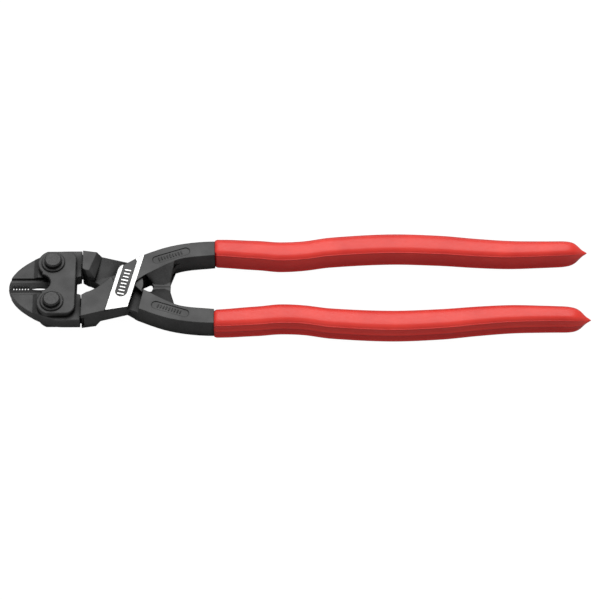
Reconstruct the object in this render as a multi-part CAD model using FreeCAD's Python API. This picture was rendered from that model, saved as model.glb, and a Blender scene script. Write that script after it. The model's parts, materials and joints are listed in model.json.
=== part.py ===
import FreeCAD, Part
import math
import os

os.makedirs("parts", exist_ok=True)
V = FreeCAD.Vector

# A lever-action bolt cutter lying flat, jaws towards -X, marked side up.
# Every size is in millimetres. The model is drawn about the joint's axis and then set on z = 0.

# Overall sizes
jaw_reach = 50.0          # joint axis to jaw tip
handle_reach = 200.0      # joint axis to the tip of a grip
lever_half = 5.0          # half the thickness of a handle forging

# Joint
arm_half = 4.15           # outer face of an arm under the other lever's tongue
block_left = -18.4        # rear face of the block at an arm's end
layer_gap = 0.05          # gap between sliding faces
tongue_top = lever_half
joint_radius = 8.0        # half-thick disc around the joint
joint_gap = 0.1           # side clearance around the disc
pin_radius = 3.3
pin_clearance = 0.05
band_half_width = 4.5
band_tilt = 13.4          # degrees from +Y
band_recess_half = 2.6
band_recess_depth = 0.25
stop_gap = 0.05           # half the gap between the stop faces
groove_floor = 1.5
web_half = 1.4
wall_half = 2.4           # height of an arm's outer wall past the middle plane
side_gap = 0.15           # between a tongue and the raised face beside it

# Jaws and link plates
jaw_half = 2.8            # half the thickness under the plates
tip_half = 2.2            # half the thickness of the blade
blade_end = -37.6         # where the blade meets the thicker pivot plate
bevel_depth = 1.3         # half the thickness left at the bevel's top
bevel_end = -33.0
bolt_x = -31.0
bolt_y = 10.2
jaw_width = 18.4          # centre line to the outer edge of a jaw
jaw_rear = -18.9
rear_gap_half = 4.9       # half the space between the jaws' rear corners
edge_gap = 0.05           # half the gap between the closed edges
plate_gap = 0.05
plate_thickness = 2.55
plate_lobe = 6.6
plate_rear = -21.1
plate_notch_radius = 4.2
plate_notch_x = -36.2
plate_end = 16.3

# Knuckle between a jaw and its lever
knuckle_x = -17.5
knuckle_y = 13.6
knuckle_radius = 2.8
knuckle_clearance = 0.06
rib_half = 1.0            # guide rib on a jaw's rear edge
rib_reach = 1.0
rib_clearance = 0.1

# Bolts
bolt_radius = 3.0
bolt_running = 0.06       # radial clearance in the lower jaw
bolt_open = 0.3           # radial clearance in the upper jaw, where the linkage is left open
head_radius = 3.75
head_height = 1.9
head_chamfer = 0.55
collar_radius = 5.0
collar_thickness = 0.85
nut_radius = 4.7
nut_thickness = 1.9
nut_chamfer = 0.4

# Grips
grip_start = 38.6
grip_half = 5.75          # half the thickness of a grip
grip_edge = 1.7
tang_half_width = 3.4
tang_half = 4.4
tang_end = 186.0
nub_length = 1.8
nub_radius = 2.3

# Small features
jaw_edge_break = 0.5
plate_edge_break = 0.3
collar_edge_break = 0.3
plate_corner = 4.0        # corner radius at a plate's rear
slot_half_width = 1.9
slot_depth = 0.3
serration_pitch = 1.25
serration_count = 6
serration_start = 2.0     # from the jaw tip
serration_half = 0.3      # half a notch's width at the edge

plate_low = jaw_half + plate_gap
plate_top = plate_low + plate_thickness
tool_bottom = plate_top + nut_thickness
centre_x = (handle_reach - jaw_reach) / 2


def prism(points, low, high):
    """Closed straight-sided outline, extruded from low to high."""
    corners = [V(x, y, low) for x, y in points]
    wire = Part.makePolygon(corners + [corners[0]])
    return Part.Face(wire).extrude(V(0, 0, high - low))


def disc(x, y, radius, low, high):
    return Part.makeCylinder(radius, high - low, V(x, y, low))


def curve(points, start=None, end=None):
    """Smooth curve through the points, with end directions where they matter."""
    spline = Part.BSplineCurve()
    through = [V(x, y, 0) for x, y in points]
    if start and end:
        spline.interpolate(Points=through, InitialTangent=V(start[0], start[1], 0),
                           FinalTangent=V(end[0], end[1], 0))
    else:
        spline.interpolate(through)
    return spline


def band_solid(outer, inner, low, high):
    """Solid between two smooth side curves, closed by straight ends."""
    edges = [
        curve(outer).toShape(),
        Part.makeLine(V(outer[-1][0], outer[-1][1], 0), V(inner[-1][0], inner[-1][1], 0)),
        curve(inner).toShape(),
        Part.makeLine(V(inner[0][0], inner[0][1], 0), V(outer[0][0], outer[0][1], 0)),
    ]
    wire = Part.Wire(Part.__sortEdges__(edges))
    solid = Part.Face(wire).extrude(V(0, 0, high - low))
    solid.translate(V(0, 0, low))
    return solid


def slot(x0, y0, x1, y1, half_width, low, high):
    """Round-ended slot between two centres."""
    length = math.hypot(x1 - x0, y1 - y0)
    nx = -(y1 - y0) / length * half_width
    ny = (x1 - x0) / length * half_width
    body = prism([(x0 + nx, y0 + ny), (x1 + nx, y1 + ny), (x1 - nx, y1 - ny), (x0 - nx, y0 - ny)], low, high)
    ends = [disc(x0, y0, half_width, low, high), disc(x1, y1, half_width, low, high)]
    return body.fuse(ends).removeSplitter()


def flip(shape):
    """The same piece turned over about the tool's long axis."""
    turned = shape.copy()
    turned.rotate(V(0, 0, 0), V(1, 0, 0), 180)
    return turned


def export(name, shape):
    placed = shape.copy()
    placed.translate(V(-centre_x, 0, tool_bottom))
    placed.exportStep("parts/" + name + ".step")


def edges_where(shape, test):
    return [edge for edge in shape.Edges if test(edge)]


def flat_at(edge, z):
    return all(abs(vertex.Z - z) < 1e-4 for vertex in edge.Vertexes)


# Levers

# Side curves of the forging, from the joint to the end of the tang.
handle_outer = [(5.4, 13.3), (11.6, 16.1), (16.4, 18.0), (25.0, 20.2), (33.0, 21.2), (grip_start, 21.4)]
handle_inner = [(9.0, 4.2), (13.9, 7.2), (18.4, 9.9), (23.0, 12.0), (29.4, 13.3), (grip_start, 14.2)]

# Straight outer side that an arm and its block share.
arm_tip_y = 17.4
arm_root = (1.9, 11.9)

# Middle line and width of a grip. The tang follows the same line.
grip_line = [
    (grip_start, 18.5, 8.5),
    (45.0, 18.2, 8.9),
    (52.0, 17.65, 9.2),
    (58.5, 17.2, 9.4),
    (66.7, 16.4, 9.6),
    (77.0, 16.9, 9.5),
    (88.6, 18.7, 9.7),
    (114.0, 20.2, 9.9),
    (135.9, 19.4, 9.8),
    (151.8, 17.9, 9.3),
    (166.4, 16.95, 8.7),
    (181.5, 17.05, 7.9),
    (handle_reach - 6.0, 17.6, 7.2),
]


def joint_line(offset, length):
    """A point beside the ground band: offset across it, length along it."""
    tilt = math.radians(band_tilt)
    x = offset * math.cos(tilt) + length * math.sin(tilt)
    y = -offset * math.sin(tilt) + length * math.cos(tilt)
    return (x, y)


def mirrored(point):
    return (point[0], -point[1])


def arm_side(x):
    """A point on an arm's straight outer side."""
    share = (x - block_left) / (arm_root[0] - block_left)
    return (x, arm_tip_y + (arm_root[1] - arm_tip_y) * share)


def at_height(points, z):
    corners = [V(x, y, z) for x, y in points]
    return Part.makePolygon(corners + corners[:1])


def make_tang():
    outer = [(x, y + tang_half_width) for x, y, width in grip_line[:-1]]
    inner = [(x, y - tang_half_width) for x, y, width in grip_line[:-1]]
    outer.append((tang_end, grip_line[-2][1] + tang_half_width))
    inner.append((tang_end, grip_line[-2][1] - tang_half_width))
    return band_solid(outer, inner, -tang_half, tang_half)


def make_handle_root():
    """Full thickness from the joint to the grip, with the web that carries the stop face."""
    root = band_solid(handle_outer, handle_inner, -lever_half, lever_half)
    neck = prism([(5.4, 13.3), (1.8, 10.9), (joint_radius * 0.6, 2.0), (9.0, 4.2)], -lever_half, lever_half)
    web = prism([(8.0, 4.8), (11.6, stop_gap + 2.2), (12.4, stop_gap), (19.6, stop_gap), (19.7, 5.5),
                 (20.4, 8.6), (21.9, 11.1), (25.0, 12.9), (14.0, 10.0)], -web_half, web_half)
    # Smooth fall from the forging's inner edge to the web.
    fall_top = [(9.0, 4.2), (13.9, 7.2), (18.4, 9.9), (21.5, 11.4), (18.0, 13.5)]
    fall_foot = [(10.6, 3.0), (12.9, 1.3), (17.0, 1.0), (19.5, 2.2), (18.0, 13.5)]
    fall = Part.makeLoft([at_height(fall_top, lever_half), at_height(fall_foot, web_half)], True, True)
    under = flip(fall).mirror(V(0, 0, 0), V(0, 1, 0))
    return root.fuse([neck, web, fall, under, make_tang()])


def make_arm():
    """Half-thick disc and arm, with a raised face, an outer wall and a block at the end."""
    low = -arm_half
    high = -layer_gap
    block_end = arm_side(block_left)
    limit = prism([(-4.1, -4.6), (-11.9, 2.8), (-11.9, 14.0), (9.0, 14.0), (9.0, -9.0), (0.3, -9.0)],
                  low, high)
    joint = disc(0, 0, joint_radius, low, high).common(limit)
    arm = prism([(-4.1, -4.6), (-11.9, 2.8), (block_left, 6.4), block_end, arm_root, (7.9, 13.9),
                 (9.0, 4.2), (0.0, 0.0)], low, high)
    # Face beside the other lever's tongue, flush with it.
    side = -band_half_width - side_gap
    raised = prism([(block_left, 6.4), (-11.9, 2.8), (-5.7, -3.08), mirrored(joint_line(side, -1.0)),
                    mirrored(joint_line(side, -16.2)), block_end], -lever_half, low)
    # Outer wall, falling towards the joint so that the other arm passes over it.
    ends = []
    for foot_point, top_point in (((-13.0, 4.4), arm_side(-13.0)), ((1.5, 9.3), arm_root)):
        triangle = [V(foot_point[0], foot_point[1], high), V(top_point[0], top_point[1], high),
                    V(top_point[0], top_point[1], wall_half)]
        ends.append(Part.makePolygon(triangle + triangle[:1]))
    wall = Part.makeLoft(ends, True, True)
    # Block, sloping down to the arm.
    foot = [(block_left, 6.4), block_end, arm_side(-10.3), (-13.0, 4.0), (-16.2, 4.9)]
    crest = [(block_left, 7.6), (block_left, arm_tip_y - 0.5), (-12.4, 16.0), (-15.6, 6.6), (-17.2, 6.8)]
    block = prism(foot, -lever_half, wall_half)
    slope = Part.makeLoft([at_height(foot, wall_half), at_height(crest, lever_half)], True, True)
    return joint.fuse([arm, raised, wall, block, slope])


def make_lever():
    """The upper lever: its joint disc and arm lie below the middle plane."""
    # Room for the other lever's disc, arm and back tongue.
    body = make_handle_root()
    body = body.cut(disc(0, 0, joint_radius + joint_gap, -layer_gap, arm_half + layer_gap))
    beyond = -lever_half - 1
    sweep = prism([(-9.0, 16.0), (5.6, 16.0), (6.4, 12.9), (8.0, 4.9), (6.6, 0.0), (-9.0, 0.0)],
                  beyond, -arm_half)
    body = body.cut(sweep)
    # Ground tongue across the front of the joint.
    left_foot = joint_line(-band_half_width, -15.9)
    right_foot = joint_line(band_half_width, -12.0)
    right_head = joint_line(band_half_width, 2.0)
    left_head = joint_line(-band_half_width, 6.2)
    tongue = prism([left_foot, right_foot, right_head, (9.0, 4.2), (5.4, 13.3), (1.8, 10.9), (-2.0, 8.6),
                    left_head], arm_half + layer_gap, tongue_top)
    lever = body.fuse([make_arm(), tongue])
    # Deep groove beside the shoulder on the back.
    back_groove = prism([(4.6, 1.2), (8.0, 4.9), (6.4, 12.9), (6.3, 15.0), (1.0, 15.0), (1.2, 12.5)],
                        beyond, -groove_floor)
    lever = lever.cut(back_groove)
    # Knuckle socket, the corner that a jaw swings through, and the groove for its rib.
    half = jaw_half + plate_gap
    socket = disc(knuckle_x, knuckle_y, knuckle_radius + knuckle_clearance, -half, half)
    corner = prism([(block_left - 1, 14.4), (block_left, 14.4), (-16.9, 17.6), (-16.9, 19.5),
                    (block_left - 1, 19.5)], -half, half)
    rib_room = make_rib(rib_clearance)
    lever = lever.cut(socket).cut(corner).cut(rib_room)
    lever = lever.cut(disc(0, 0, pin_radius, beyond, arm_half + layer_gap))
    # Plain recesses in the marked faces, and their partners on the back.
    top = lever_half + 1
    lever = lever.cut(slot(13.6, 11.9, 26.0, 16.3, slot_half_width, lever_half - slot_depth, top))
    lever = lever.cut(slot(13.6, 11.9, 26.0, 16.3, slot_half_width, -top, -lever_half + slot_depth))
    foot = joint_line(-0.2, -5.0)
    head = joint_line(-0.2, 11.0)
    recess = slot(foot[0], foot[1], head[0], head[1], band_recess_half, tongue_top - band_recess_depth, top)
    return lever.cut(recess).removeSplitter()


def make_rib(clearance):
    """Guide rib on an upper jaw's rear edge. With a clearance it is the groove for it."""
    right = jaw_rear + rib_reach + clearance
    left = jaw_rear - clearance
    low = 5.6 - 4 * clearance
    high = 10.4 + 4 * clearance
    half = rib_half + clearance
    return prism([(left, low), (right, low + 0.3), (right, high), (left, high + 0.2)], -half, half)


upper_lever = make_lever()
lower_lever = flip(upper_lever)
joint_pin = disc(0, 0, pin_radius, -lever_half, arm_half + layer_gap)
lower_lever = lower_lever.cut(disc(0, 0, pin_radius + pin_clearance, -lever_half - 1, arm_half + layer_gap))
export("upper_lever", upper_lever)
export("lower_lever", lower_lever)
export("joint_pin", joint_pin)
print("levers", upper_lever.isValid(), lower_lever.isValid())


# Grips

def make_grip():
    outer = [(x, y + width / 2) for x, y, width in grip_line]
    inner = [(x, y - width / 2) for x, y, width in grip_line]
    end_x, end_y, end_width = grip_line[-1]
    tip = (end_x + 3.6, end_y + 0.6)
    edges = [
        curve(outer).toShape(),
        Part.Arc(V(outer[-1][0], outer[-1][1], 0), V(tip[0], tip[1], 0),
                 V(inner[-1][0], inner[-1][1], 0)).toShape(),
        curve(inner).toShape(),
        Part.makeLine(V(inner[0][0], inner[0][1], 0), V(outer[0][0], outer[0][1], 0)),
    ]
    wire = Part.Wire(Part.__sortEdges__(edges))
    body = Part.Face(wire).extrude(V(0, 0, 2 * grip_half))
    body.translate(V(0, 0, -grip_half))
    rims = edges_where(body, lambda edge: (flat_at(edge, grip_half) or flat_at(edge, -grip_half))
                       and edge.BoundBox.XMax > grip_start + 1)
    body = body.makeFillet(grip_edge, rims)
    nub = Part.makeCone(nub_radius + 0.9, nub_radius * 0.35, nub_length + 1.2,
                        V(handle_reach - nub_length - 1.2, tip[1] - 0.2, 0), V(1, 0, 0))
    sleeve = body.fuse(nub)
    return sleeve.cut(make_tang()).removeSplitter()


upper_grip = make_grip()
lower_grip = flip(upper_grip)
export("upper_grip", upper_grip)
export("lower_grip", lower_grip)
print("grips", upper_grip.isValid())


# Jaws

def make_jaw(hole_radius):
    """The upper jaw. Its cutting edge lies along y = 0."""
    side = [(-jaw_reach, 1.0), (-48.7, 4.6), (-46.0, 8.5), (-40.9, 12.9), (-35.7, 15.9), (-29.5, 18.0),
            (-25.0, jaw_width)]
    edges = [curve(side, (0.2, 1), (1, 0)).toShape()]
    corners = [side[-1], (jaw_rear, jaw_width), (jaw_rear, rear_gap_half), (-33.6, edge_gap),
               (-jaw_reach, edge_gap), side[0]]
    for start, end in zip(corners, corners[1:]):
        edges.append(Part.makeLine(V(start[0], start[1], 0), V(end[0], end[1], 0)))
    wire = Part.Wire(Part.__sortEdges__(edges))
    body = Part.Face(wire).extrude(V(0, 0, 2 * jaw_half))
    body.translate(V(0, 0, -jaw_half))
    rims = edges_where(body, lambda edge: (flat_at(edge, jaw_half) or flat_at(edge, -jaw_half))
                       and edge.BoundBox.YMax > jaw_width - 0.1 and edge.BoundBox.XLength > 1)
    body = body.makeChamfer(jaw_edge_break, rims)
    # Blade: thinner than the pivot plate, with a ledge and a bevel down to the edge.
    front = -jaw_reach - 1
    clear = jaw_half + 1.2
    for side_sign in (1, -1):
        thin = [V(front, -1, side_sign * tip_half), V(front, -1, side_sign * clear),
                V(blade_end, -1, side_sign * clear), V(blade_end, -1, side_sign * jaw_half),
                V(blade_end - 1.8, -1, side_sign * tip_half)]
        wedge = Part.Face(Part.makePolygon(thin + thin[:1])).extrude(V(0, 30, 0))
        body = body.cut(wedge)
        profile = [V(front, -0.2, 0), V(front, 2.7, side_sign * bevel_depth),
                   V(front, 4.0, side_sign * bevel_depth), V(front, 4.6, side_sign * clear),
                   V(front, -0.2, side_sign * clear)]
        bevel = Part.Face(Part.makePolygon(profile + profile[:1])).extrude(V(bevel_end - front, 0, 0))
        body = body.cut(bevel)
    # Shallow recess in the edge for thick wire.
    recess = disc(-37.0, -8.6, 9.25, -clear, clear)
    body = body.cut(recess)
    # Gripping serrations across the tip of the bevel.
    for index in range(serration_count):
        x = -jaw_reach + serration_start + index * serration_pitch
        tooth = prism([(x - serration_half, -0.5), (x - serration_half * 0.77, 0.55),
                       (x + serration_half * 0.77, 0.55), (x + serration_half, -0.5)], -clear, clear)
        body = body.cut(tooth)
    # Knuckle and guide rib on the rear edge.
    lobe = disc(knuckle_x, knuckle_y, knuckle_radius, -jaw_half, jaw_half)
    body = body.fuse([lobe, make_rib(0)])
    body = body.cut(disc(bolt_x, bolt_y, hole_radius, -clear, clear))
    return body.removeSplitter()


upper_jaw = make_jaw(bolt_radius + bolt_open)
lower_jaw = flip(make_jaw(bolt_radius + bolt_running))
export("upper_jaw", upper_jaw)
export("lower_jaw", lower_jaw)
print("jaws", upper_jaw.isValid(), lower_jaw.isValid())


# Link plates and bolts

def make_plate(low):
    high = low + plate_thickness
    middle = prism([(bolt_x, -plate_end), (plate_rear, -plate_end), (plate_rear, plate_end),
                    (bolt_x, plate_end)], low, high)
    uprights = [edge for edge in middle.Edges
                if edge.BoundBox.ZLength > 1 and edge.BoundBox.XMax > plate_rear - 0.1]
    middle = middle.makeFillet(plate_corner, uprights)
    waist = prism([(-35.6, -7.0), (bolt_x, -7.0), (bolt_x, 7.0), (-35.6, 7.0)], low, high)
    lobes = [disc(bolt_x, side * bolt_y, plate_lobe, low, high) for side in (1, -1)]
    holes = [disc(bolt_x, side * bolt_y, bolt_radius, low - 1, high + 1) for side in (1, -1)]
    pieces = [piece.cut(holes) for piece in [middle, waist] + lobes]
    plate = pieces[0].fuse(pieces[1:])
    notch = disc(plate_notch_x, 0, plate_notch_radius, low - 1, high + 1)
    trims = [prism([(-45, side * plate_end), (-15, side * plate_end), (-15, side * 30), (-45, side * 30)],
                   low - 1, high + 1) for side in (1, -1)]
    plate = plate.cut([notch] + trims).removeSplitter()
    outer_face = high if low > 0 else low
    return plate.makeChamfer(plate_edge_break, edges_where(plate, lambda edge: flat_at(edge, outer_face)))


front_plate = make_plate(plate_low)
back_plate = make_plate(-plate_top)
export("front_link_plate", front_plate)
export("back_link_plate", back_plate)


def make_bolt(side):
    y = side * bolt_y
    top = plate_top + collar_thickness + head_height
    shank = disc(bolt_x, y, bolt_radius, -plate_top - nut_thickness + 0.3, plate_top + collar_thickness)
    head = disc(bolt_x, y, head_radius, plate_top + collar_thickness, top)
    rim = [edge for edge in head.Edges if flat_at(edge, top)]
    head = head.makeChamfer(head_chamfer, rim)
    return shank.fuse(head).removeSplitter()


def make_collar(side):
    y = side * bolt_y
    ring = disc(bolt_x, y, collar_radius, plate_top, plate_top + collar_thickness)
    rim = [edge for edge in ring.Edges if flat_at(edge, plate_top + collar_thickness)]
    ring = ring.makeChamfer(collar_edge_break, rim)
    return ring.cut(disc(bolt_x, y, bolt_radius, plate_top - 1, plate_top + collar_thickness + 1))


def make_nut(side):
    y = side * bolt_y
    corners = []
    for index in range(6):
        angle = math.radians(60 * index + 30)
        corners.append((bolt_x + nut_radius * math.cos(angle), y + nut_radius * math.sin(angle)))
    low = -plate_top - nut_thickness
    nut = prism(corners, low, -plate_top)
    dome = Part.makeCone(nut_radius * 0.9, nut_radius * 1.5, nut_radius * 0.6, V(bolt_x, y, low))
    nut = nut.common(dome)
    return nut.cut(disc(bolt_x, y, bolt_radius, low - 1, -plate_top + 1))


for name, side in (("upper", 1), ("lower", -1)):
    export(name + "_jaw_bolt", make_bolt(side))
    export(name + "_bolt_collar", make_collar(side))
    export(name + "_bolt_nut", make_nut(side))

print("bottom", -tool_bottom, "centre", centre_x)
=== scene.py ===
import bpy
import bmesh
import json
import math
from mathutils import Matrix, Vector


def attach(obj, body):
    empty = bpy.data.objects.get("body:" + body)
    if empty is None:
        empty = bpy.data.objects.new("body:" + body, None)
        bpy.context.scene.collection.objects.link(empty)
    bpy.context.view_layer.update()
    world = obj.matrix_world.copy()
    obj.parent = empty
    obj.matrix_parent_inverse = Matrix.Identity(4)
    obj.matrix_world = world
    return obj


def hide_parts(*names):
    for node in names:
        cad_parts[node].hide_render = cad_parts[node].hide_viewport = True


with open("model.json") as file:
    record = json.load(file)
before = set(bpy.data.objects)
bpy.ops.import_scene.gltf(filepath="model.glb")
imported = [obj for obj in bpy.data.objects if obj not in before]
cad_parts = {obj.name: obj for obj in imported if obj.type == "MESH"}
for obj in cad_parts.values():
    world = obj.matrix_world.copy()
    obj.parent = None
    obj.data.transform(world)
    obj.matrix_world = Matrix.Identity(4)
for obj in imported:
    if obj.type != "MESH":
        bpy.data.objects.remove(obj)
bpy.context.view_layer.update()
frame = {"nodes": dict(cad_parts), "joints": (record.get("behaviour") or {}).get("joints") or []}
mm = 0.001
joints = {joint["name"]: joint for joint in frame["joints"]}
jointAt = Vector(joints["handle_pivot"]["pos_m"])
print("frame loaded, joint at", tuple(round(v, 4) for v in jointAt))


def hexLinear(text):
    # an sRGB hex colour as linear red, green, blue and an alpha of 1
    parts = [int(text[i:i + 2], 16) / 255 for i in (1, 3, 5)]
    return tuple([v / 12.92 if v <= 0.04045 else ((v + 0.055) / 1.055) ** 2.4 for v in parts] + [1.0])


def addNode(tree, kind, settings=None, inputs=None):
    # an input is a value, a socket, or a node that stands for its first output
    node = tree.nodes.new(kind)
    for key, value in (settings or {}).items():
        setattr(node, key, value)
    for key, value in (inputs or {}).items():
        if isinstance(value, bpy.types.Node):
            value = value.outputs[0]
        if isinstance(value, bpy.types.NodeSocket):
            tree.links.new(value, node.inputs[key])
        else:
            node.inputs[key].default_value = value
    return node


def newMaterial(name):
    material = bpy.data.materials.new(name)
    material.use_nodes = True
    tree = material.node_tree
    shader = next(node for node in tree.nodes if node.type == "BSDF_PRINCIPLED")
    where = addNode(tree, "ShaderNodeTexCoord").outputs["Object"]
    return material, tree, shader, where


def cellScale(sizeMm):
    # the scale at which one cell of a pattern is about sizeMm across
    return 1 / (sizeMm * mm)


# nearly all of a noise pattern lies between these two values
noiseLow = 0.3
noiseHigh = 0.7


def twoTone(tree, value, low, dark, high, light):
    # dark where value is under low, light where it is over high, and a straight blend between
    share = addNode(tree, "ShaderNodeMapRange", {}, {"Value": value, "From Min": low, "From Max": high})
    return addNode(tree, "ShaderNodeMix", {"data_type": "RGBA"},
                   {0: share, 6: hexLinear(dark), 7: hexLinear(light)}).outputs[2]


def paintedShadeInHollows(tree, colour, look):
    # painted shade: the colour turns to the look's dark shade colour where a surface within its reach closes
    # it in, as in corners, crevices, gaps and under things
    sky = addNode(tree, "ShaderNodeAmbientOcclusion", {"samples": 8}, {"Distance": look["reachMm"] * mm})
    share = addNode(tree, "ShaderNodeMapRange", {},
                    {"Value": sky.outputs["AO"], "From Min": look["shadeUnder"],
                     "From Max": look["clearOver"]})
    return addNode(tree, "ShaderNodeMix", {"data_type": "RGBA"},
                   {0: share, 6: hexLinear(look["shade"]), 7: colour}).outputs[2]


def finishMesh(name, verts, faces, body, material):
    mesh = bpy.data.meshes.new(name)
    mesh.from_pydata(verts, [], faces)
    work = bmesh.new()
    work.from_mesh(mesh)
    bmesh.ops.remove_doubles(work, verts=work.verts, dist=1e-7)
    bmesh.ops.recalc_face_normals(work, faces=work.faces)
    work.to_mesh(mesh)
    work.free()
    for polygon in mesh.polygons:
        polygon.use_smooth = True
    mesh.materials.append(material)
    piece = bpy.data.objects.new(name, mesh)
    bpy.context.scene.collection.objects.link(piece)
    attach(piece, body)
    return piece


forging = {
    "dark": "#343434", "light": "#474747", "darkUnder": 0.35, "lightOver": 0.65,
    "metallic": 0.75, "roughness": (0.41, 0.52),
    "skinMm": 0.5, "cloudMm": 9.0, "cloudShare": 0.55, "grainMm": 0.04, "edgeMm": 0.45,
    # painted shade: the colour turns near black in the corners, crevices and gaps that other surfaces close
    # in
    "shade": "#020202", "reachMm": 9.0, "shadeUnder": 0.42, "clearOver": 0.88,
}
turnedSteel = {
    "dark": "#303030", "light": "#404040", "darkUnder": 0.35, "lightOver": 0.65,
    "metallic": 0.8, "roughness": (0.34, 0.42),
    "skinMm": 0.6, "grainMm": 0.03, "edgeMm": 0.25,
    # painted shade: near black in the hollows round the heads, collars and nuts
    "shade": "#020202", "reachMm": 3.0, "shadeUnder": 0.3, "clearOver": 0.9,
}
pinSteel = {"dark": "#b9b9b8", "light": "#cfcfcd", "metallic": 1.0, "roughness": (0.26, 0.34), "skinMm": 0.3}
band = {
    # the band crosses the joint's axis, leans by its tilt, and ends at its reach towards the grips
    "halfWidthMm": 4.5, "tiltDegrees": 13.4, "reachMm": 9.0, "topMm": 5.0, "toleranceMm": 0.1,
    "steel": "#d0d0cf", "worn": "#b8b8b7", "roughness": 0.34, "lineMm": 0.15, "lineLengthMm": 4.0,
}


def groundBand(tree, where, side, colour, rough):
    # bare ground steel on the raised face of the band, and the oxide's colour on the recess below it
    tilt = math.radians(band["tiltDegrees"])
    centred = addNode(tree, "ShaderNodeVectorMath", {"operation": "SUBTRACT"},
                      {0: where, 1: tuple(jointAt)})
    turned = addNode(tree, "ShaderNodeVectorMath", {"operation": "MULTIPLY"},
                     {0: centred, 1: (1, side, side)})
    axes = addNode(tree, "ShaderNodeSeparateXYZ", {}, {0: turned})
    across = addNode(tree, "ShaderNodeVectorMath", {"operation": "DOT_PRODUCT"},
                     {0: turned, 1: (math.cos(tilt), -math.sin(tilt), 0)}).outputs["Value"]
    inside = addNode(tree, "ShaderNodeMath", {"operation": "COMPARE"},
                     {0: across, 1: 0.0, 2: band["halfWidthMm"] * mm})
    level = addNode(tree, "ShaderNodeMath", {"operation": "GREATER_THAN"},
                    {0: axes.outputs["Z"], 1: (band["topMm"] - band["toleranceMm"]) * mm})
    near = addNode(tree, "ShaderNodeMath", {"operation": "LESS_THAN"},
                   {0: axes.outputs["X"], 1: band["reachMm"] * mm})
    raised = addNode(tree, "ShaderNodeMath", {"operation": "MULTIPLY"}, {0: level, 1: near})
    ground = addNode(tree, "ShaderNodeMath", {"operation": "MULTIPLY"}, {0: inside, 1: raised})
    # grinding lines run along the band
    place = addNode(tree, "ShaderNodeCombineXYZ", {}, {0: across, 1: axes.outputs["Y"]})
    lines = addNode(tree, "ShaderNodeVectorMath", {"operation": "MULTIPLY"},
                    {0: place, 1: (cellScale(band["lineMm"]), cellScale(band["lineLengthMm"]), 0)})
    scratch = addNode(tree, "ShaderNodeTexNoise", {}, {"Vector": lines, "Scale": 1.0, "Detail": 2.0})
    steel = twoTone(tree, scratch, noiseLow, band["worn"], noiseHigh, band["steel"])
    colour = addNode(tree, "ShaderNodeMix", {"data_type": "RGBA"},
                     {0: ground, 6: colour, 7: steel}).outputs[2]
    rough = addNode(tree, "ShaderNodeMix", {}, {0: ground, 2: rough, 3: band["roughness"]})
    return colour, rough


def blackOxideForging(name, bandSide=0):
    # drop-forged steel under a thin black oxide: dark, satin, with a fine grainy skin
    material, tree, shader, where = newMaterial(name)
    skin = addNode(tree, "ShaderNodeTexNoise", {},
                    {"Vector": where, "Scale": cellScale(forging["skinMm"]),
                     "Detail": 4.0, "Roughness": 0.55})
    cloud = addNode(tree, "ShaderNodeTexNoise", {},
                    {"Vector": where, "Scale": cellScale(forging["cloudMm"]),
                     "Detail": 2.0, "Roughness": 0.55})
    mottle = addNode(tree, "ShaderNodeMix", {}, {0: forging["cloudShare"], 2: skin, 3: cloud})
    tone = twoTone(tree, mottle, forging["darkUnder"], forging["dark"],
                   forging["lightOver"], forging["light"])
    # painted shade: near black where the surface is closed in
    colour = paintedShadeInHollows(tree, tone, forging)
    smooth, coarse = forging["roughness"]
    rough = addNode(tree, "ShaderNodeMapRange", {},
                    {"Value": skin, "From Min": noiseLow, "From Max": noiseHigh,
                     "To Min": smooth, "To Max": coarse})
    edges = addNode(tree, "ShaderNodeBevel", {"samples": 4}, {"Radius": forging["edgeMm"] * mm})
    grain = addNode(tree, "ShaderNodeBump", {}, {"Height": skin, "Strength": 0.25, "Normal": edges,
                                                 "Distance": forging["grainMm"] * mm})
    if bandSide:
        colour, rough = groundBand(tree, where, bandSide, colour, rough)
    tree.links.new(colour, shader.inputs["Base Color"])
    tree.links.new(rough.outputs[0], shader.inputs["Roughness"])
    tree.links.new(grain.outputs[0], shader.inputs["Normal"])
    shader.inputs["Metallic"].default_value = forging["metallic"]
    return material


def turnedBlackSteel(name):
    # bolts, washers and nuts: turned bar under black oxide, a little smoother than the forgings
    material, tree, shader, where = newMaterial(name)
    skin = addNode(tree, "ShaderNodeTexNoise", {},
                    {"Vector": where, "Scale": cellScale(turnedSteel["skinMm"]),
                     "Detail": 3.0, "Roughness": 0.55})
    tone = twoTone(tree, skin, turnedSteel["darkUnder"], turnedSteel["dark"],
                   turnedSteel["lightOver"], turnedSteel["light"])
    # painted shade: near black where the surface is closed in
    colour = paintedShadeInHollows(tree, tone, turnedSteel)
    smooth, coarse = turnedSteel["roughness"]
    rough = addNode(tree, "ShaderNodeMapRange", {},
                    {"Value": skin, "From Min": noiseLow, "From Max": noiseHigh,
                     "To Min": smooth, "To Max": coarse})
    edges = addNode(tree, "ShaderNodeBevel", {"samples": 4}, {"Radius": turnedSteel["edgeMm"] * mm})
    grain = addNode(tree, "ShaderNodeBump", {}, {"Height": skin, "Strength": 0.15, "Normal": edges,
                                                 "Distance": turnedSteel["grainMm"] * mm})
    tree.links.new(colour, shader.inputs["Base Color"])
    tree.links.new(rough.outputs[0], shader.inputs["Roughness"])
    tree.links.new(grain.outputs[0], shader.inputs["Normal"])
    shader.inputs["Metallic"].default_value = turnedSteel["metallic"]
    return material


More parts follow.
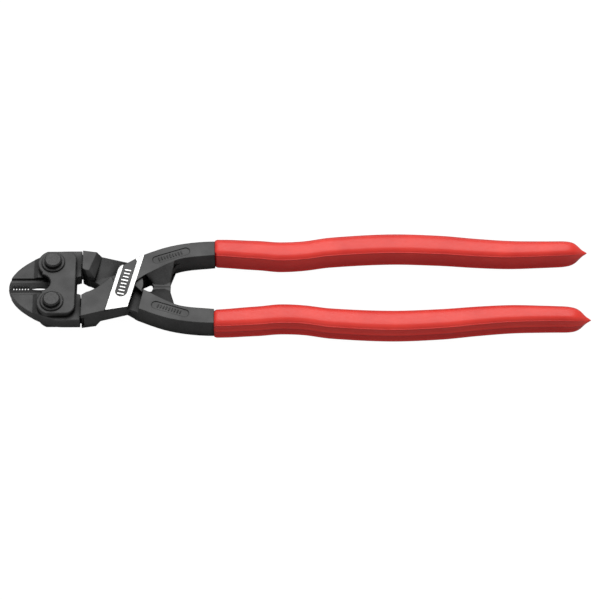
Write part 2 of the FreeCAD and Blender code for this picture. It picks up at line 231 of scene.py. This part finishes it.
def groundPinSteel(name):
    # bright ground steel, for the pin and for the bars on the band
    material, tree, shader, where = newMaterial(name)
    skin = addNode(tree, "ShaderNodeTexNoise", {},
                    {"Vector": where, "Scale": cellScale(pinSteel["skinMm"]),
                     "Detail": 3.0, "Roughness": 0.55})
    smooth, coarse = pinSteel["roughness"]
    rough = addNode(tree, "ShaderNodeMapRange", {},
                    {"Value": skin, "From Min": noiseLow, "From Max": noiseHigh,
                     "To Min": smooth, "To Max": coarse})
    colour = twoTone(tree, skin, noiseLow, pinSteel["dark"], noiseHigh, pinSteel["light"])
    tree.links.new(colour, shader.inputs["Base Color"])
    tree.links.new(rough.outputs[0], shader.inputs["Roughness"])
    shader.inputs["Metallic"].default_value = pinSteel["metallic"]
    return material


steels = {
    "upper_lever": blackOxideForging("drop-forged steel, black oxide, ground band up", 1),
    "lower_lever": blackOxideForging("drop-forged steel, black oxide, ground band down", -1),
    "joint_pin": groundPinSteel("ground pin steel"),
}
forgedPlain = blackOxideForging("drop-forged steel, black oxide")
turned = turnedBlackSteel("turned steel, black oxide")
for name in ("upper_jaw", "lower_jaw", "front_link_plate", "back_link_plate"):
    steels[name] = forgedPlain
for side in ("upper", "lower"):
    for part in ("jaw_bolt", "bolt_collar", "bolt_nut"):
        steels[side + "_" + part] = turned
for name, material in steels.items():
    node = frame["nodes"][name]
    if not node.material_slots:
        node.data.materials.append(material)
    for materialSlot in node.material_slots:
        materialSlot.material = material
print("steels done", len(steels))


rows = {
    # start, step and size of the bars in mm from the joint, and their turn about Z in degrees
    # a side of -1 mirrors a row to the lower half of the tool
    "bandBars": {"body": "upper_handle", "side": 1, "start": (-1.62, -5.9, 4.86),
                 "step": (0.417, 1.751, 0), "count": 8, "size": (2.9, 0.55, 0.28), "turn": -13.4,
                 "slot": "forged_black", "bright": True},
    "upperHandleBars": {"body": "upper_handle", "side": 1, "start": (14.6, 12.25, 4.8),
                        "step": (1.2, 0.426, 0), "count": 9, "size": (0.42, 1.9, 0.3), "turn": 19.5,
                        "slot": "forged_black", "bright": False},
    "lowerHandleBars": {"body": "lower_handle", "side": -1, "start": (14.6, 12.25, 4.8),
                        "step": (1.2, 0.426, 0), "count": 9, "size": (0.42, 1.9, 0.3), "turn": 19.5,
                        "slot": "forged_black", "bright": False},
    "upperJawRibs": {"body": "upper_jaw", "side": 1, "start": (-48.2, 1.35, 0.72), "step": (1.1, 0, 0),
                     "count": 7, "size": (0.34, 2.1, 0.5), "turn": 0.0, "slot": "jaw_black", "bright": False},
}
# how much shorter and narrower than its full size a bar can come out
barVariation = 0.18


def rowTree():
    # a straight row of small bars, each a little smaller or larger than the next
    tree = bpy.data.node_groups.new("bar row", "GeometryNodeTree")
    sockets = (("Start", "NodeSocketVector"), ("Step", "NodeSocketVector"), ("Count", "NodeSocketInt"),
               ("Size", "NodeSocketVector"), ("Turn", "NodeSocketVector"), ("Variation", "NodeSocketFloat"),
               ("Material", "NodeSocketMaterial"))
    for label, kind in sockets:
        tree.interface.new_socket(label, in_out="INPUT", socket_type=kind)
    tree.interface.new_socket("Geometry", in_out="OUTPUT", socket_type="NodeSocketGeometry")
    given = addNode(tree, "NodeGroupInput").outputs
    line = addNode(tree, "GeometryNodeMeshLine", {},
                   {"Count": given["Count"], "Start Location": given["Start"], "Offset": given["Step"]})
    bar = addNode(tree, "GeometryNodeMeshCube", {}, {"Size": given["Size"]})
    low = addNode(tree, "ShaderNodeMath", {"operation": "SUBTRACT"}, {0: 1.0, 1: given["Variation"]})
    share = addNode(tree, "FunctionNodeRandomValue", {"data_type": "FLOAT"}, {2: low, 3: 1.0, "Seed": 7})
    scale = addNode(tree, "ShaderNodeCombineXYZ", {}, {0: share.outputs[1], 1: share.outputs[1], 2: 1.0})
    placed = addNode(tree, "GeometryNodeInstanceOnPoints", {},
                     {"Points": line, "Instance": bar, "Rotation": given["Turn"], "Scale": scale})
    real = addNode(tree, "GeometryNodeRealizeInstances", {}, {"Geometry": placed})
    painted = addNode(tree, "GeometryNodeSetMaterial", {}, {"Geometry": real, "Material": given["Material"]})
    addNode(tree, "NodeGroupOutput", {}, {"Geometry": painted})
    return tree


def makeRow(name, tree, material):
    row = rows[name]
    side = row["side"]
    start = row["start"]
    step = row["step"]
    values = {
        "Start": (jointAt.x + start[0] * mm, side * start[1] * mm, jointAt.z + start[2] * mm),
        "Step": (step[0] * mm, side * step[1] * mm, step[2] * mm),
        "Count": row["count"],
        "Size": tuple(length * mm for length in row["size"]),
        "Turn": (0.0, 0.0, side * math.radians(row["turn"])),
        "Variation": barVariation,
        "Material": material,
    }
    seed = bpy.data.objects.new(name + "Seed", bpy.data.meshes.new(name + "Seed"))
    bpy.context.scene.collection.objects.link(seed)
    modifier = seed.modifiers.new("bar row", "NODES")
    modifier.node_group = tree
    for item in tree.interface.items_tree:
        if item.in_out == "INPUT":
            modifier[item.identifier] = values[item.name]
    graph = bpy.context.evaluated_depsgraph_get()
    mesh = bpy.data.meshes.new_from_object(seed.evaluated_get(graph))
    seed.modifiers.clear()
    bpy.data.objects.remove(seed)
    mesh.name = name
    piece = bpy.data.objects.new(name, mesh)
    bpy.context.scene.collection.objects.link(piece)
    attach(piece, row["body"])


barTree = rowTree()
groundSteel = groundPinSteel("ground steel, bar tops")
for name, row in rows.items():
    makeRow(name, barTree, groundSteel if row["bright"] else forgedPlain)
print("bar rows done", len(rows))


grip = {
    # distance from the joint, middle line from the tool's centre line, width, all in mm
    "line": [(38.6, 18.5, 8.5), (45.0, 18.2, 8.9), (52.0, 17.65, 9.2), (58.5, 17.2, 9.4), (66.7, 16.4, 9.6),
             (77.0, 16.9, 9.5), (88.6, 18.7, 9.7), (114.0, 20.2, 9.9), (135.9, 19.4, 9.8), (151.8, 17.9, 9.3),
             (166.4, 16.95, 8.7), (181.5, 17.05, 7.9), (188.0, 17.2, 7.6)],
    "stations": 150,
    "halfHeightMm": 5.75,
    "ridgeMm": 4.5,
    # the mouth is a little smaller over its first stretch
    "mouthMm": 0.5,
    "mouthFullness": 0.92,
    # the end turns round as it gets thinner, and its tip stands off the middle line
    "endMm": 200.0,
    "roundMm": 4.8,
    "roundFrom": 0.9,
    "roundOver": 0.5,
    "tipOffsetMm": 0.5,
    # how full the end is at each distance from its tip, in mm: a bullet and the nub that dipping leaves
    "end": [(10.5, 0.99), (9.0, 0.965), (7.6, 0.925), (6.3, 0.865), (5.4, 0.8), (4.5, 0.71), (3.6, 0.58),
            (2.8, 0.44), (2.1, 0.31), (1.5, 0.22), (0.9, 0.15), (0.4, 0.08), (0.0, 0.02)],
}
vinylLook = {
    "top": "#e4382c", "deep": "#d62c22", "roughness": (0.32, 0.4), "specular": 0.4,
    "cloudMm": 14.0, "peelMm": 1.6, "peelDepthMm": 0.05, "subsurface": 0.04, "subsurfaceMm": 1.0,
    # painted shade: the steep sides, which see less open sky, are painted a deeper red
    "shade": "#a80e10", "reachMm": 22.0, "shadeUnder": 0.5, "clearOver": 0.95,
}


def smoothThrough(points, x):
    # a smooth curve through the listed stations, each with the slope between its neighbours
    count = len(points)
    span = next((i for i in range(count - 1) if x <= points[i + 1][0]), count - 2)
    p1, p2 = points[span], points[span + 1]
    p0 = points[max(span - 1, 0)]
    p3 = points[min(span + 2, count - 1)]
    run = p2[0] - p1[0]
    t = (x - p1[0]) / run
    result = []
    for axis in (1, 2):
        slope1 = (p2[axis] - p0[axis]) / (p2[0] - p0[0]) * run
        slope2 = (p3[axis] - p1[axis]) / (p3[0] - p1[0]) * run
        leaving = (2 * t ** 3 - 3 * t ** 2 + 1) * p1[axis] + (t ** 3 - 2 * t ** 2 + t) * slope1
        arriving = (3 * t ** 2 - 2 * t ** 3) * p2[axis] + (t ** 3 - t ** 2) * slope2
        result.append(leaving + arriving)
    return result


def gripSection():
    # the outline across a grip, from the middle of the marked face round the outer side
    # each point is a share of the half width and a height in mm
    high = grip["halfHeightMm"]
    ridge = grip["ridgeMm"]
    face = [(0.0, high), (0.3, high - 0.03), (0.52, high - 0.14), (0.68, high - 0.36), (0.79, high - 0.72),
            (0.865, ridge + 0.2), (0.9, ridge - 0.04), (0.925, ridge - 0.12), (0.95, ridge - 0.02),
            (0.975, ridge + 0.04), (0.995, ridge - 0.04), (1.0, ridge - 0.2), (0.985, ridge - 0.42),
            (0.955, ridge - 0.6)]
    outer = face + [(0.94, ridge - 1.2), (0.935, 2.2), (0.935, 1.4), (0.945, 0.85), (0.965, 0.6),
                    (0.99, 0.42), (1.0, 0.2), (1.0, 0.0)]
    inner = face + [(0.95, ridge - 1.2), (0.95, 2.2), (0.95, 1.0), (0.95, 0.0)]
    loop = list(outer)
    loop += [(v, -z) for v, z in reversed(outer[:-1])]
    loop += [(-v, -z) for v, z in inner[1:]]
    loop += [(-v, z) for v, z in reversed(inner[1:-1])]
    return loop


def gripStations():
    # distance from the joint, middle line, half width and fullness at each ring of a grip
    start = grip["line"][0][0]
    bodyEnd = grip["line"][-1][0]
    tip = grip["endMm"]
    mouth = grip["mouthFullness"]
    stations = []
    for i in range(grip["stations"]):
        x = start + (bodyEnd - start) * i / (grip["stations"] - 1)
        centre, width = smoothThrough(grip["line"], x)
        opened = min(1.0, (x - start) / grip["mouthMm"])
        stations.append((x, centre, width / 2, mouth + (1 - mouth) * math.sin(opened * math.pi / 2)))
    lastCentre, lastWidth = smoothThrough(grip["line"], bodyEnd)
    for back, size in grip["end"]:
        share = (tip - back - bodyEnd) / (tip - bodyEnd)
        stations.append((tip - back, lastCentre + grip["tipOffsetMm"] * share, lastWidth / 2, size))
    return stations


def makeGrip(name, side, body, node, material):
    bodyEnd = grip["line"][-1][0]
    section = gripSection()
    rings = []
    for x, centre, half, size in gripStations():
        ring = []
        for v, z in section:
            y = centre + v * half * size
            height = z * size
            if x > bodyEnd:
                angle = math.atan2(z, v * half)
                blend = min(1.0, max(0.0, (grip["roundFrom"] - size) / grip["roundOver"]))
                radius = math.hypot(z, v * half) * (1 - blend) + grip["roundMm"] * blend
                y = centre + radius * math.cos(angle) * size
                height = radius * math.sin(angle) * size
            ring.append((jointAt.x + x * mm, side * y * mm, jointAt.z + height * mm))
        rings.append(ring)
    verts = [point for ring in rings for point in ring]
    count = len(section)
    faces = []
    for r in range(len(rings) - 1):
        for k in range(count):
            a = r * count + k
            b = r * count + (k + 1) % count
            faces.append((a, b, b + count, a + count))
    last = (len(rings) - 1) * count
    faces.append(tuple(range(count)))
    faces.append(tuple(range(last, last + count)))
    piece = finishMesh(name, verts, faces, body, material)
    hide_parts(node)


def dippedVinyl(name):
    # soft PVC from a dipping bath: even red, satin gloss, a faint orange-peel skin
    material, tree, shader, where = newMaterial(name)
    peel = addNode(tree, "ShaderNodeTexNoise", {},
                    {"Vector": where, "Scale": cellScale(vinylLook["peelMm"]),
                     "Detail": 2.0, "Roughness": 0.55})
    cloud = addNode(tree, "ShaderNodeTexNoise", {},
                    {"Vector": where, "Scale": cellScale(vinylLook["cloudMm"]),
                     "Detail": 2.0, "Roughness": 0.55})
    tone = twoTone(tree, cloud, noiseLow, vinylLook["deep"], noiseHigh, vinylLook["top"])
    # painted shade: a deeper red on the steep sides and where the grip is closed in
    colour = paintedShadeInHollows(tree, tone, vinylLook)
    smooth, coarse = vinylLook["roughness"]
    rough = addNode(tree, "ShaderNodeMapRange", {},
                    {"Value": peel, "From Min": noiseLow, "From Max": noiseHigh,
                     "To Min": smooth, "To Max": coarse})
    grain = addNode(tree, "ShaderNodeBump", {}, {"Height": peel, "Strength": 0.12,
                                                 "Distance": vinylLook["peelDepthMm"] * mm})
    tree.links.new(colour, shader.inputs["Base Color"])
    tree.links.new(rough.outputs[0], shader.inputs["Roughness"])
    tree.links.new(grain.outputs[0], shader.inputs["Normal"])
    shader.inputs["Specular IOR Level"].default_value = vinylLook["specular"]
    shader.inputs["Subsurface Weight"].default_value = vinylLook["subsurface"]
    shader.inputs["Subsurface Scale"].default_value = vinylLook["subsurfaceMm"] * mm
    return material


vinyl = dippedVinyl("dipped soft PVC, red")
makeGrip("upperGrip", 1, "upper_handle", "upper_grip", vinyl)
makeGrip("lowerGrip", -1, "lower_handle", "lower_grip", vinyl)
print("grips done")


stage = {
    "floor": "#b0b0b0", "floorRoughness": 0.9, "floorHalf": 3, "glow": 1.12, "glowShare": 0.88,
    # the camera looks down at its elevation on a point near the origin, with distances in metres
    "elevationDegrees": 55.0, "rollDegrees": -0.29, "distance": 1.434, "aimX": 0.0004, "aimY": -0.0063,
    "lensMm": 200.0, "sensorMm": 36, "world": 0.55,
    # name, watts, width and place of each square lamp, which faces the origin
    "lamps": [("overhead", 8.5, 0.9, (0.1, 0.5, 0.95)), ("fill", 0.8, 0.8, (-0.5, -0.6, 0.8))],
}


def makeFloor():
    half = stage["floorHalf"]
    mesh = bpy.data.meshes.new("floor")
    corners = [(-half, -half, 0), (half, -half, 0), (half, half, 0), (-half, half, 0)]
    mesh.from_pydata(corners, [], [(0, 1, 2, 3)])
    floor = bpy.data.objects.new("floor", mesh)
    bpy.context.scene.collection.objects.link(floor)
    # grey paper that gives off an even white glow to camera rays only, so that its shadow is faint
    material, tree, shader, where = newMaterial("matt paper")
    shader.inputs["Base Color"].default_value = hexLinear(stage["floor"])
    shader.inputs["Roughness"].default_value = stage["floorRoughness"]
    glow = addNode(tree, "ShaderNodeEmission", {}, {"Color": hexLinear("#ffffff"), "Strength": stage["glow"]})
    ray = addNode(tree, "ShaderNodeLightPath").outputs["Is Camera Ray"]
    seen = addNode(tree, "ShaderNodeMath", {"operation": "MULTIPLY"}, {0: ray, 1: stage["glowShare"]})
    mixed = addNode(tree, "ShaderNodeMixShader", {}, {0: seen, 1: shader, 2: glow})
    output = next(node for node in tree.nodes if node.type == "OUTPUT_MATERIAL")
    tree.links.new(mixed.outputs[0], output.inputs["Surface"])
    mesh.materials.append(material)


def makeLight():
    world = bpy.data.worlds.new("soft room")
    world.use_nodes = True
    background = world.node_tree.nodes["Background"]
    background.inputs["Color"].default_value = hexLinear("#ffffff")
    background.inputs["Strength"].default_value = stage["world"]
    bpy.context.scene.world = world
    for name, watts, width, place in stage["lamps"]:
        data = bpy.data.lights.new(name, "AREA")
        data.energy = watts
        data.size = width
        lamp = bpy.data.objects.new(name, data)
        lamp.location = place
        lamp.rotation_euler = (-Vector(place)).to_track_quat("-Z", "Y").to_euler()
        bpy.context.scene.collection.objects.link(lamp)


def makeCamera():
    data = bpy.data.cameras.new("camera")
    data.lens = stage["lensMm"]
    data.sensor_width = stage["sensorMm"]
    camera = bpy.data.objects.new("camera", data)
    aim = Vector((stage["aimX"], stage["aimY"], jointAt.z))
    up = math.radians(stage["elevationDegrees"])
    camera.location = aim + Vector((0, -math.cos(up), math.sin(up))) * stage["distance"]
    camera.rotation_euler = (aim - camera.location).to_track_quat("-Z", "Y").to_euler()
    camera.rotation_euler.rotate_axis("Z", math.radians(stage["rollDegrees"]))
    bpy.context.scene.collection.objects.link(camera)
    bpy.context.scene.camera = camera


makeFloor()
makeLight()
makeCamera()
bpy.context.scene.view_settings.view_transform = "Standard"
print("stage done")
